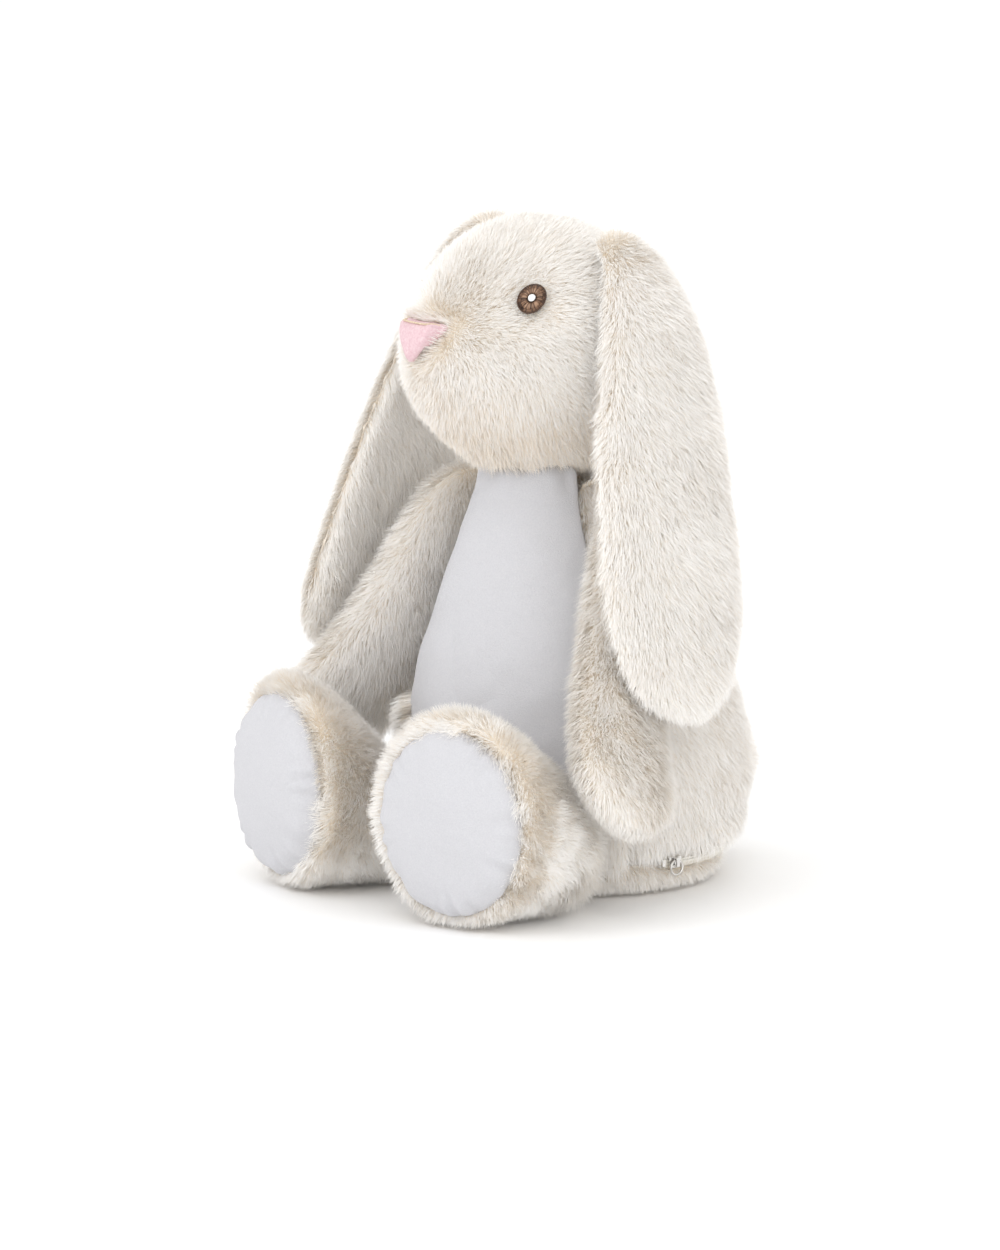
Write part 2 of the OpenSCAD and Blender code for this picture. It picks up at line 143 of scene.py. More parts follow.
def mottle(mat, colours, scale, detail=4.0):
    """Drives the base colour with noise that runs through the given colours."""
    tree = mat.node_tree
    where = add(mat, "ShaderNodeTexCoord")
    noise = add(mat, "ShaderNodeTexNoise", Scale=scale, Detail=detail)
    ramp = add(mat, "ShaderNodeValToRGB")
    while len(ramp.color_ramp.elements) < len(colours):
        ramp.color_ramp.elements.new(0.5)
    for i, colour in enumerate(colours):
        ramp.color_ramp.elements[i].position = RAMP_FIRST + (RAMP_LAST - RAMP_FIRST) * i / (len(colours) - 1)
        ramp.color_ramp.elements[i].color = (*colour, 1)
    tree.links.new(where.outputs["Object"], noise.inputs["Vector"])
    tree.links.new(noise.outputs["Fac"], ramp.inputs["Fac"])
    tree.links.new(ramp.outputs["Color"], tree.nodes["Principled BSDF"].inputs["Base Color"])
    return mat


def grain(mat, scale, strength, distance, detail=3.0):
    """Adds fine bump, such as a pile or a weave."""
    tree = mat.node_tree
    where = add(mat, "ShaderNodeTexCoord")
    texture = add(mat, "ShaderNodeTexNoise", Scale=scale, Detail=detail)
    bump = add(mat, "ShaderNodeBump", Strength=strength, Distance=distance)
    tree.links.new(where.outputs["Object"], texture.inputs["Vector"])
    tree.links.new(texture.outputs[0], bump.inputs["Height"])
    tree.links.new(bump.outputs["Normal"], tree.nodes["Principled BSDF"].inputs["Normal"])
    return mat


# The backing's tan is painted shade: it stands for the warm shadow down between the strands
SHADED_BACKING = grain(mottle(material("fur_backing_painted_shade", (0.86, 0.79, 0.69), 1.0),
                       [(0.80, 0.71, 0.58), (0.86, 0.79, 0.69), (0.91, 0.86, 0.78)], 90),
                900, 0.5, 0.0006)
VELOUR = grain(mottle(material("velour", (0.59, 0.59, 0.615), 1.0, 0.1, specular=0.1),
                      [(0.585, 0.583, 0.608), (0.61, 0.608, 0.632), (0.635, 0.633, 0.652)], 1300, 6.0),
               2000, 0.55, 0.0006, detail=6.0)
NOSE = grain(mottle(material("nose_velour", (0.74, 0.52, 0.555), 1.0, 0.2, specular=0.1),
                    [(0.69, 0.46, 0.50), (0.74, 0.53, 0.565), (0.79, 0.61, 0.635)], 900, 8.0),
             2600, 0.5, 0.0004, detail=6.0)
WADDING = grain(mottle(material("wadding", (0.9, 0.9, 0.9), 1.0),
                       [(0.80, 0.80, 0.80), (0.90, 0.90, 0.90)], 120, 8.0), 700, 0.8, 0.001)
TAPE = grain(mottle(material("zip_tape", (0.75, 0.71, 0.64), 0.9),
                    [(0.70, 0.66, 0.58), (0.80, 0.76, 0.69)], 700), 1500, 0.6, 0.0003)
TEETH = mottle(material("zip_teeth", (0.82, 0.79, 0.72), 0.35, specular=0.5),
               [(0.78, 0.75, 0.67), (0.85, 0.82, 0.75)], 300)
METAL = mottle(material("nickel", (0.75, 0.74, 0.72), 0.16, metallic=1.0),
               [(0.62, 0.60, 0.57), (0.80, 0.79, 0.77)], 250)
# The nose seam's tan thread is painted shade: the dark line under the folded top edge
SEAM_SHADE = mottle(material("seam_thread_painted_shade", (0.75, 0.62, 0.45), 0.7),
                [(0.62, 0.48, 0.32), (0.80, 0.68, 0.52)], 900)

# The pile: a tan root, which is painted shade down in the pile, and three tints of tip. Its colour varies from
# strand to strand, so each is one tint
PILE = [material("pile_root_painted_shade", (0.915, 0.845, 0.755), 0.9, 0.0, specular=0.1),
        material("pile_cream", (0.948, 0.923, 0.885), 0.85, 0.0, specular=0.12),
        material("pile_ivory", (0.960, 0.944, 0.920), 0.85, 0.0, specular=0.12),
        material("pile_white", (0.968, 0.959, 0.945), 0.85, 0.0, specular=0.12)]


# ---- mesh helpers ----

def new_object(name, mesh, mats=()):
    obj = bpy.data.objects.new(name, mesh)
    bpy.context.scene.collection.objects.link(obj)
    for mat in mats:
        mesh.materials.append(mat)
    return obj


def coat(mesh, mat):
    """Gives a mesh one material in place of those it has."""
    mesh.materials.clear()
    mesh.materials.append(mat)


def mesh_from(name, points, faces):
    mesh = bpy.data.meshes.new(name)
    mesh.from_pydata([tuple(p) for p in points], [], [tuple(f) for f in faces])
    mesh.update()
    mesh.polygons.foreach_set("use_smooth", [True] * len(mesh.polygons))
    return mesh


def coordinates(mesh):
    co = np.empty(len(mesh.vertices) * 3)
    mesh.vertices.foreach_get("co", co)
    return co.reshape(-1, 3)


def set_coordinates(mesh, co):
    mesh.vertices.foreach_set("co", np.ascontiguousarray(co, np.float32).ravel())
    mesh.update()


def vertex_normals(mesh):
    vn = np.empty(len(mesh.vertices) * 3, np.float32)
    mesh.vertex_normals.foreach_get("vector", vn)
    return vn.reshape(-1, 3).astype(float)


def bake_modifiers(obj):
    """Replaces the object's mesh by what its modifiers make of it."""
    graph = bpy.context.evaluated_depsgraph_get()
    mesh = bpy.data.meshes.new_from_object(obj.evaluated_get(graph))
    old = obj.data
    obj.modifiers.clear()
    obj.data = mesh
    bpy.data.meshes.remove(old)
    mesh.polygons.foreach_set("use_smooth", [True] * len(mesh.polygons))


def joined(name, names):
    """A new mesh holding copies of CAD nodes."""
    bm = bmesh.new()
    for n in names:
        bm.from_mesh(nodes[n].data)
    bmesh.ops.remove_doubles(bm, verts=bm.verts, dist=1e-6)
    mesh = bpy.data.meshes.new(name)
    bm.to_mesh(mesh)
    bm.free()
    return mesh


def keep_largest(mesh):
    """Drops every loose part of a mesh but the one with the most points."""
    bm = bmesh.new()
    bm.from_mesh(mesh)
    bm.verts.ensure_lookup_table()
    seen, best = set(), []
    for start in bm.verts:
        if start.index in seen:
            continue
        group, stack = [], [start]
        seen.add(start.index)
        while stack:
            v = stack.pop()
            group.append(v)
            for e in v.link_edges:
                w = e.other_vert(v)
                if w.index not in seen:
                    seen.add(w.index)
                    stack.append(w)
        if len(group) > len(best):
            best = group
    keep = set(best)
    bmesh.ops.delete(bm, geom=[v for v in bm.verts if v not in keep], context="VERTS")
    bm.to_mesh(mesh)
    bm.free()


SMOOTHING, GIVING_BACK = 0.5, -0.52     # shares of the way to the neighbours' middle


def smooth_rounds(mesh, rounds):
    """Laplacian smoothing, each round followed by one that gives back the volume it took."""
    edges = np.empty(len(mesh.edges) * 2, int)
    mesh.edges.foreach_get("vertices", edges)
    a, b = edges.reshape(-1, 2).T
    co = coordinates(mesh)
    count = np.bincount(a, minlength=len(co)) + np.bincount(b, minlength=len(co))
    for share in (SMOOTHING, GIVING_BACK) * rounds:
        total = np.zeros_like(co)
        np.add.at(total, a, co[b])
        np.add.at(total, b, co[a])
        co = co + share * (total / count[:, None] - co)
    set_coordinates(mesh, co)


WAVES = 7


def waves(p, size, seed):
    """Smooth noise over points, mostly from -1 to 1, with features about size metres across."""
    rng = np.random.default_rng(seed)
    k = rng.normal(size=(WAVES, 3))
    k *= (2 * math.pi / size) * rng.uniform(0.45, 1.0, (WAVES, 1)) / np.linalg.norm(k, axis=1, keepdims=True)
    phase = rng.uniform(0, 2 * math.pi, WAVES)
    return np.sin(p @ k.T + phase).sum(1) / math.sqrt(WAVES)


def wave_vectors(p, size, seed):
    return np.stack([waves(p, size, seed * 3 + i) for i in range(3)], 1)


def unit_rows(v):
    return v / np.maximum(np.linalg.norm(v, axis=1, keepdims=True), 1e-9)


# ---- stuffed skins ----

CLOTH_FRAMES = 14
PRESSURE = 4
STIFFNESS = 12


def stuffed(name, cad, body, voxel, inset, swell):
    """A stuffed skin round CAD nodes. It starts inset from them, and cloth under pressure moves no point of it
    by more than swell. A swell of 0 leaves the cloth out."""
    obj = new_object(name, joined(name, cad))
    remesh = obj.modifiers.new("remesh", "REMESH")
    remesh.mode, remesh.voxel_size = "VOXEL", voxel
    bake_modifiers(obj)
    keep_largest(obj.data)
    smooth_rounds(obj.data, 6)
    set_coordinates(obj.data, coordinates(obj.data) - vertex_normals(obj.data) * inset)
    smooth_rounds(obj.data, 3)
    if swell > 0:
        blow_up(obj, swell)
    coat(obj.data, SHADED_BACKING)
    sub = obj.modifiers.new("sub", "SUBSURF")
    sub.levels = sub.render_levels = 1
    bake_modifiers(obj)
    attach(obj, body)
    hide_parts(*cad)
    return obj


def blow_up(obj, cap):
    """Cloth under pressure, with no gravity, and no point moved further than the cap."""
    start = coordinates(obj.data)
    cloth = obj.modifiers.new("cloth", "CLOTH")
    cloth.settings.use_pressure = True
    cloth.settings.uniform_pressure_force = PRESSURE
    cloth.settings.effector_weights.gravity = 0
    cloth.settings.quality = 4
    cloth.settings.tension_stiffness = cloth.settings.compression_stiffness = STIFFNESS
    cloth.point_cache.frame_start, cloth.point_cache.frame_end = 1, CLOTH_FRAMES
    scene = bpy.context.scene
    for f in range(1, CLOTH_FRAMES + 1):
        scene.frame_set(f)
    made = bpy.data.meshes.new_from_object(obj.evaluated_get(bpy.context.evaluated_depsgraph_get()))
    step = coordinates(made) - start
    bpy.data.meshes.remove(made)
    obj.modifiers.clear()
    scene.frame_set(1)
    far = np.linalg.norm(step, axis=1, keepdims=True)
    step *= np.minimum(1, cap / np.maximum(far, 1e-9))
    set_coordinates(obj.data, start + step)
    smooth_rounds(obj.data, 1)


# ---- pile ----

def scatter(mesh, density, rng):
    """Even random points over a mesh with their smooth normals, density to the square metre."""
    mesh.calc_loop_triangles()
    tri = np.empty(len(mesh.loop_triangles) * 3, int)
    mesh.loop_triangles.foreach_get("vertices", tri)
    tri = tri.reshape(-1, 3)
    co, vn = coordinates(mesh), vertex_normals(mesh)
    a, b, c = co[tri[:, 0]], co[tri[:, 1]], co[tri[:, 2]]
    area = np.linalg.norm(np.cross(b - a, c - a), axis=1) / 2
    ends = np.cumsum(area)
    n = int(ends[-1] * density)
    pick = np.searchsorted(ends, (np.arange(n) + rng.random(n)) / n * ends[-1]).clip(0, len(tri) - 1)
    u, v = rng.random(n), rng.random(n)
    flip = u + v > 1
    u[flip], v[flip] = 1 - u[flip], 1 - v[flip]
    w = 1 - u - v
    t = tri[pick]
    mix = lambda q: q[t[:, 0]] * w[:, None] + q[t[:, 1]] * u[:, None] + q[t[:, 2]] * v[:, None]
    return mix(co), unit_rows(mix(vn))


MOST_STRANDS = 64000               # in one piece, so that its mesh stays light
STRAND_WIDTH = 0.00030
GATHER = 0.20                      # how far a tip is drawn towards the middle of its tuft, as a share
ROOT_DEPTH = 0.0006                # below the skin
LOWEST = 0.0008                    # above the floor
TINT_STEPS = (-1.3, -0.6, 0.3)     # between the four tints of the pile


def tuft_middles(p, step, rng):
    """For each strand, the number of the strand in the middle of its tuft, with step strands to a tuft."""
    heads = np.arange(0, len(p), step)
    heads = heads + rng.integers(0, step, len(heads))
    heads = heads[heads < len(p)]
    tree = KDTree(len(heads))
    for i, h in enumerate(heads):
        tree.insert(p[h], i)
    tree.balance()
    return heads[np.fromiter((tree.find(q)[1] for q in p), int, len(p))]


def pile(name, body, skin, comb, length, lean, density=3.24e6, clump=0.0020, keep=None, swirl=0.16,
         painted_shade=0.0, seed=1):
    """Fur on a skin: each strand is a bent ribbon of three triangles that leans the way comb(points, normals)
    points, and gathers with its neighbours into tufts clump metres across. density is strands to the square
    metre. length, lean (radians off the normal) and the shade painted into the pile (0 for white to 1.4 for
    cream) may be numbers or functions of points and normals."""
    rng = np.random.default_rng(seed)
    p, n = scatter(skin.data, density, rng)
    if keep is not None:
        stay = keep(p, n)
        p, n = p[stay], n[stay]
    count = len(p)
    value = lambda q: q(p, n) if callable(q) else np.full(count, float(q))
    size = value(length) * rng.uniform(0.65, 1.1, count) * (1 + 0.04 * waves(p, 0.03, seed + 6))
    tilt = value(lean) * rng.uniform(0.65, 1.2, count) + 0.07 * waves(p, 0.012, seed + 5)
    # Combed, with broad and small swirls and each strand's own stray
    flow = unit_rows(comb(p, n)) + swirl * wave_vectors(p, 0.040, seed + 1)
    flow = flow + 0.7 * swirl * wave_vectors(p, 0.010, seed + 2)
    flow += rng.normal(size=(count, 3)) * 0.22
    flow -= n * (flow * n).sum(1, keepdims=True)
    flow = unit_rows(flow)
    along = n * np.cos(tilt)[:, None] + flow * np.sin(tilt)[:, None]
    near = tuft_middles(p, max(1, int(density * clump * clump)), rng)
    centre = p[near] + along[near] * (size[near] * 1.05)[:, None]
    pull = (GATHER * rng.uniform(0.4, 1.25, count))[:, None]
    tip = (p + along * size[:, None]) * (1 - pull) + centre * pull
    tip += rng.normal(size=(count, 3)) * 0.0005
    tip[:, 2] = np.maximum(tip[:, 2], LOWEST)
    reach = tip - p
    mid = p + reach * 0.4 + n * (size * 0.14)[:, None]
    mid[:, 2] = np.maximum(mid[:, 2], LOWEST)
    root = p - n * ROOT_DEPTH
    # A ribbon faces out from the skin, turned a little at random about its own length
    spin = rng.uniform(-0.45, 0.45, count)[:, None]
    side = unit_rows(np.cross(unit_rows(reach), n) + 1e-6)
    side = unit_rows(side * np.cos(spin) + n * np.sin(spin))
    w = (STRAND_WIDTH * rng.uniform(0.7, 1.3, count))[:, None]
    co = np.stack([root - side * w * 0.5, root + side * w * 0.5, mid + side * w * 0.42,
                   mid - side * w * 0.42, tip], 1).reshape(-1, 3)
    # Painted shade: where it is laid, tips turn creamier and more strands get the tan root
    shade = value(painted_shade)
    tone = waves(p, 0.022, seed + 8) * 0.12 + rng.normal(size=count) * 0.6 - shade
    tint = np.searchsorted(TINT_STEPS, tone, side="right")
    # Painted shade down in the pile: the lower part of a strand is the tan root on a fifth of strands, and on
    # more where shade is laid, and cream on the rest
    lower = np.where(rng.random(count) < 0.2 + 0.6 * shade, 0, 1)
    cuts = np.linspace(0, count, math.ceil(count / MOST_STRANDS) + 1).astype(int)
    for number, (first, last) in enumerate(zip(cuts[:-1], cuts[1:]), 1):
        strand_mesh(f"{name}_{number}", body, co[first * 5:last * 5],
                    np.stack([lower, tint], 1)[first:last])


def comb_along(direction):
    """A comb that points one way all over."""
    return lambda p, n: np.tile(direction, (len(p), 1))


def strand_mesh(name, body, co, slots):
    """Ribbons of five points each, the lower and upper part of each in its own material slot."""
    count = len(co) // 5
    mesh = bpy.data.meshes.new(name)
    base = np.arange(count) * 5
    loops = np.stack([base, base + 1, base + 2, base + 3, base + 3, base + 2, base + 4], 1).ravel()
    starts = np.stack([np.arange(count) * 7, np.arange(count) * 7 + 4], 1).ravel()
    mesh.vertices.add(len(co))
    mesh.vertices.foreach_set("co", co.astype(np.float32).ravel())
    mesh.loops.add(len(loops))
    mesh.loops.foreach_set("vertex_index", loops.astype(np.int32))
    mesh.polygons.add(len(starts))
    mesh.polygons.foreach_set("loop_start", starts.astype(np.int32))
    mesh.polygons.foreach_set("use_smooth", np.ones(count * 2, bool))
    obj = new_object(name, mesh, PILE)
    mesh.polygons.foreach_set("material_index", slots.ravel().astype(np.int32))
    mesh.update(calc_edges=True)
    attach(obj, body)


# ---- where things are ----

def centre_of(node):
    low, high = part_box(node)
    return np.array((low + high) / 2)


def distance_to(p, q):
    return np.linalg.norm(p - q, axis=1)


nose_at = centre_of("nose_patch")
eyes_at = [centre_of("eye_" + side) for side in SIDES]
head_low, head_high = (np.array(v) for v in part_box("head_filling"))
head_at = (head_low + head_high) / 2
slider_at = centre_of("zip_slider")


# ---- the nose's outline: a triangle, point down, with round corners ----

NOSE_TOP, NOSE_SIDE, NOSE_SLANT = 0.0080, 0.0082, math.radians(42)     # from its middle to its edges
ROUNDING = 5                                                           # higher is nearer to sharp corners
nose_low, nose_high = (np.array(v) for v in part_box("nose_patch"))
nose_middle = np.array([(nose_low[0] + nose_high[0]) / 2, nose_high[2] - NOSE_TOP])     # X and Z


def nose_outline(x, z):
    """How far from the nose's middle its edge is, in a direction."""
    edges = [((0, 1), NOSE_TOP), ((math.cos(NOSE_SLANT), -math.sin(NOSE_SLANT)), NOSE_SIDE),
             ((-math.cos(NOSE_SLANT), -math.sin(NOSE_SLANT)), NOSE_SIDE)]
    size = np.maximum(np.hypot(x, z), 1e-6)
    total = sum(np.maximum((x * ex + z * ez) / size / far, 1e-6) ** ROUNDING for (ex, ez), far in edges)
    return total ** (-1 / ROUNDING)


def nose_edge(p):
    """How far points are outside the nose's outline, negative inside it."""
    x, z = p[:, 0] - nose_middle[0], p[:, 2] - nose_middle[1]
    behind = p[:, 1] - nose_at[1] - 0.018
    return np.maximum(np.hypot(x, z) - nose_outline(x, z), behind)


# ---- head ----

HEAD_FUR, CHIN_FUR, LEAST_FUR = 0.0082, 0.0045, 0.0066     # the chin's is added to the head's
EYE_CLEAR = 0.0066                                         # radius with no fur round the middle of an eye


def comb_head(p, n):
    """From the nose back over the head, falling down the cheeks."""
    away = unit_rows(p - (nose_at + np.array([0, 0.012, 0.004])))
    low = np.clip((head_at[2] - p[:, 2]) / 0.05 + 0.5, 0, 1)[:, None]
    return away * (1.1 - 0.5 * low) + DOWN * (0.25 + 0.6 * low)


def lean_head(p, n):
    """Round the nose the pile leans in over its edge, and hides its seam."""
    return 0.85 - 1.15 * np.clip(1.1 - nose_edge(p) / 0.007, 0, 1)


def fur_height_head(p, n):
    """Longer under the chin, and shorter round the nose and the eyes."""
    chin = np.clip((head_low[2] + 0.022 - p[:, 2]) / 0.012, 0, 1)
    reach = HEAD_FUR + CHIN_FUR * chin
    reach *= 0.75 + 0.25 * np.clip((nose_edge(p) - 0.004) / 0.014, 0, 1)
    reach = np.maximum(reach, LEAST_FUR)
    for at in eyes_at:
        reach *= 0.5 + 0.5 * np.clip((distance_to(p, at) - 0.008) / 0.010, 0, 1)
    return reach


def head_keep(p, n):
    """Fur all over but on the eyes and the nose."""
    clear = nose_edge(p) > -0.0006
    for at in eyes_at:
        clear &= distance_to(p, at) > EYE_CLEAR
    return clear


def chin_painted_shade(p, n):
    """Painted shade under the cheeks and chin, more of it lower down: there the pile is drawn creamier, with
    more tan roots.
    """
    return 1.4 * np.clip((head_at[2] - 0.004 - p[:, 2]) / 0.035, 0, 1)


def make_head():
    skin = stuffed("head_skin", ["head_gusset", "head_side_left", "head_side_right"], "head",
                   0.004, 0.0045, 0.0035)
    pile("head_fur", "head", skin, comb_head, fur_height_head, lean_head, density=3.915e6, keep=head_keep,
         painted_shade=chin_painted_shade, seed=11)


# ---- ears ----

FRONT_EDGE = -0.048     # Y of the line that parts the pile of an ear


def comb_ear(p, n):
    """Down the ear, parted along a line near its front edge."""
    return DOWN + np.array([0, 0.14, 0]) * np.tanh((p[:, 1] - FRONT_EDGE) / 0.006)[:, None]


def lean_ear(p, n):
    """A little more upright on the top of the ear."""
    return 1.0 - 0.2 * np.clip(n[:, 2] * 4 - 2.6, 0, 1)


def make_ear(side, seed):
    cad = ["ear_outer_" + side, "ear_lining_" + side]
    skin = stuffed(f"ear_{side}_skin", cad, "ear_" + side, 0.0035, 0.0035, 0.002)
    pile(f"ear_{side}_fur", "ear_" + side, skin, comb_ear, 0.0095, lean_ear, density=3.645e6, seed=seed)


# ---- body ----

HEM_OUT, HEM_FUR = 0.0045, 0.0050     # how far the hem stands out over the zip, and its longer fur
FUR_END = 0.0175                      # Z where the body's fur ends, over the zip
PANEL_GAP = 0.0022                    # between the fur and the tummy panel
TREE_REACH = 0.02


def make_body():
    skin = stuffed("body_skin", ["back_panel_left", "back_panel_right", "body_pod"], "body",
                   0.004, 0.0045, 0.003)
    co = coordinates(skin.data)
    hem = np.clip((0.036 - co[:, 2]) / 0.012, 0, 1) * np.clip(distance_to(co, slider_at) / 0.012 - 0.5, 0, 1)
    set_coordinates(skin.data, co + unit_rows(co * [1, 1, 0]) * (HEM_OUT * hem)[:, None])
    panel = nodes["tummy_panel"].data
    tree = BVHTree.FromPolygons([v.co for v in panel.vertices], [tuple(f.vertices) for f in panel.polygons])

    def distance_to_tummy(p):
        return np.array([tree.find_nearest(Vector(q), TREE_REACH)[3] or TREE_REACH for q in p])

    def keep(p, n):
        under_head = (np.hypot(p[:, 0], p[:, 1] + 0.027) < 0.022) & (p[:, 2] > 0.17)
        return (distance_to_tummy(p) > PANEL_GAP) & ~under_head & (p[:, 2] > FUR_END)

    def reach(p, n):
        low = np.clip((0.034 - p[:, 2]) / 0.010, 0, 1)
        return 0.0088 + HEM_FUR * low * np.clip(distance_to(p, slider_at) / 0.010 - 0.6, 0, 1)

    pile("body_fur", "body", skin, comb_along(DOWN), reach, 0.95, density=3.105e6, keep=keep, seed=31)


def velour_piece(name, node, body, shape):
    """A velour panel from its CAD solid, subdivided and then shaped by shape(points, normals)."""
    obj = new_object(name, joined(name, [node]))
    sub = obj.modifiers.new("sub", "SUBSURF")
    sub.levels = sub.render_levels = 3
    bake_modifiers(obj)
    set_coordinates(obj.data, shape(coordinates(obj.data), vertex_normals(obj.data)))
    coat(obj.data, VELOUR)
    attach(obj, body)
    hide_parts(node)
    return obj


TUMMY_HALF = 64                    # degrees from the middle of the tummy panel to its side seams
HIP_TOP_FAR, HIP_TOP_NEAR = 0.084, 0.058     # Z up to which leg fur hides the panel's edges


def make_tummy():
    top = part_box("tummy_panel")[1].z

    def shape(co, vn):
        """Soft dents, puckers along the side seams, and folds gathered at the neck."""
        angle = np.degrees(np.arctan2(co[:, 0], -(co[:, 1] + 0.002)))
        edge = np.clip((TUMMY_HALF - np.abs(angle)) / 12, 0, 1)
        neck = np.clip((co[:, 2] - top + 0.012) / 0.012, 0, 1)
        soft = waves(co, 0.05, 3) * 0.0008 + waves(co, 0.02, 4) * 0.0003
        pucker = np.sin(co[:, 2] / 0.0075 + 1.5 * waves(co, 0.03, 5)) * 0.0008 * (1 - edge) ** 2
        folds = (0.0020 + 0.0011 * np.sin(np.radians(angle) * 15 + 1.3 * waves(co, 0.02, 6))) * neck
        lifted = co + vn * (soft + pucker + folds)[:, None]
        lifted[:, 2] += 0.0032 * neck ** 1.5
        return lifted

    velour = velour_piece("tummy_velour", "tummy_panel", "body", shape)

    def hip(p, n):
        top = np.where(p[:, 0] < 0, HIP_TOP_FAR, HIP_TOP_NEAR)
        return (n[:, 1] < 0.2) & (np.abs(p[:, 0]) > 0.040) & (p[:, 2] < top) & (p[:, 2] > 0.018)

    pile("hip_fur", "body", velour, comb_along(DOWN), 0.0115, 0.5, keep=hip, seed=33)


# ---- arms and legs ----

def make_arm(side, seed):
    cad = ["arm_outer_" + side, "arm_inner_" + side]
    skin = stuffed(f"arm_{side}_skin", cad, "arm_" + side, 0.0035, 0.004, 0.0025)
    comb = comb_along(np.array([SIDES[side] * 0.20, -0.36, -0.9]))
    pile(f"arm_{side}_fur", "arm_" + side, skin, comb, 0.0100, 0.8, density=3.375e6, seed=seed)


SPLAY = math.radians(12)     # how far each leg points outward
BARE_SOLE = 0.86             # share of the sole's radius that has no fur


def make_leg(side, seed):
    k = SIDES[side]
    skin = stuffed(f"leg_{side}_skin", ["leg_cover_" + side, "leg_filling_" + side], "leg_" + side,
                   0.004, 0.004, 0.0025)
    ahead = np.array([k * math.sin(SPLAY), -math.cos(SPLAY), 0])
    aside = np.array([math.cos(SPLAY), k * math.sin(SPLAY), 0])
    pad = coordinates(nodes["sole_pad_" + side].data)
    middle = pad.mean(0)
    front = (pad @ ahead).min()
    low, high = pad[:, 2].min(), pad[:, 2].max()
    half, centre_z = (high - low) / 2, (high + low) / 2
    wide = np.abs((pad - middle) @ aside).max()

    def rim(p):
        """0 in the middle of the sole and 1 at its edge."""
        return np.hypot((p - middle) @ aside / wide, (p[:, 2] - centre_z) / half)

    def off_axis(p):
        """The part of each point's place that lies across the leg."""
        q = p - middle
        return q - np.outer(q @ ahead, ahead)

    def keep(p, n):
        on_sole = (p @ ahead > front - 0.010) & (rim(p) < BARE_SOLE)
        return ~on_sole & (p[:, 2] > 0.0006)

    def comb(p, n):
        near_rim = np.clip((p @ ahead - front + 0.022) / 0.02, 0, 1)[:, None]
        return unit_rows(off_axis(p)) * (0.2 + 0.6 * near_rim) + ahead * (0.8 * near_rim + 0.15) + DOWN * 0.3

    def tilt(p, n):
        return 0.75 - 0.25 * np.clip((p @ ahead - front + 0.02) / 0.02, 0, 1)

    def reach(p, n):
        return 0.0085 + 0.005 * np.clip((front - 0.035 - p @ ahead) / 0.02, 0, 1)

    pile(f"leg_{side}_fur", "leg_" + side, skin, comb, reach, tilt, density=3.51e6, keep=keep,
         swirl=0.4, clump=0.0032, seed=seed)

    def shape(co, vn):
        """A crowned pad with soft dents, gathered and sunk at its seam."""
        r = rim(co)
        turn = np.arctan2(co[:, 2] - centre_z, (co - middle) @ aside)
        seam = np.clip((r - 0.55) / 0.45, 0, 1)
        gathers = np.sin(turn * 19 + 2.2 * np.sin(turn * 5 + k)) * np.sin(turn * 4 + 0.7) * 0.0026 * seam ** 2
        soft = waves(co, 0.035, 61) * 0.0009 + waves(co, 0.016, 62) * 0.0003
        crown = 0.003 * np.clip(1 - r * r, 0, 1)
        sink = -0.0045 * np.clip((r - 0.80) / 0.20, 0, 1) ** 2
        facing = np.clip(vn @ ahead, 0, 1)
        shrink = off_axis(co) * (-0.075 * np.clip(r, 0, 1) ** 3)[:, None]
        return co + shrink + np.outer((gathers + soft + crown) * facing + sink, ahead)

    velour_piece(f"sole_{side}_velour", "sole_pad_" + side, "leg_" + side, shape)


# ---- seat and tail ----

def make_seat():
    skin = stuffed("seat_skin", ["seat_panel"], "body", 0.004, 0.003, 0.0)

    def keep(p, n):
        return (n[:, 2] < 0.8) & (p[:, 2] > LOWEST) & (n[:, 2] > -0.93)

    pile("seat_fur", "body", skin, comb_along(DOWN), 0.0075, 0.55, density=3.78e6, keep=keep, seed=71)


def make_tail():
    skin = stuffed("tail_skin", ["tail_cover"], "body", 0.0025, 0.002, 0.0)
    pile("tail_fur", "body", skin, comb_along(DOWN), 0.009, 0.5, density=4.32e6, seed=81)


# ---- nose and eyes ----

NOSE_RINGS, NOSE_SPOKES = 16, 72
SEAM_FROM, SEAM_TO = math.radians(28), math.radians(152)


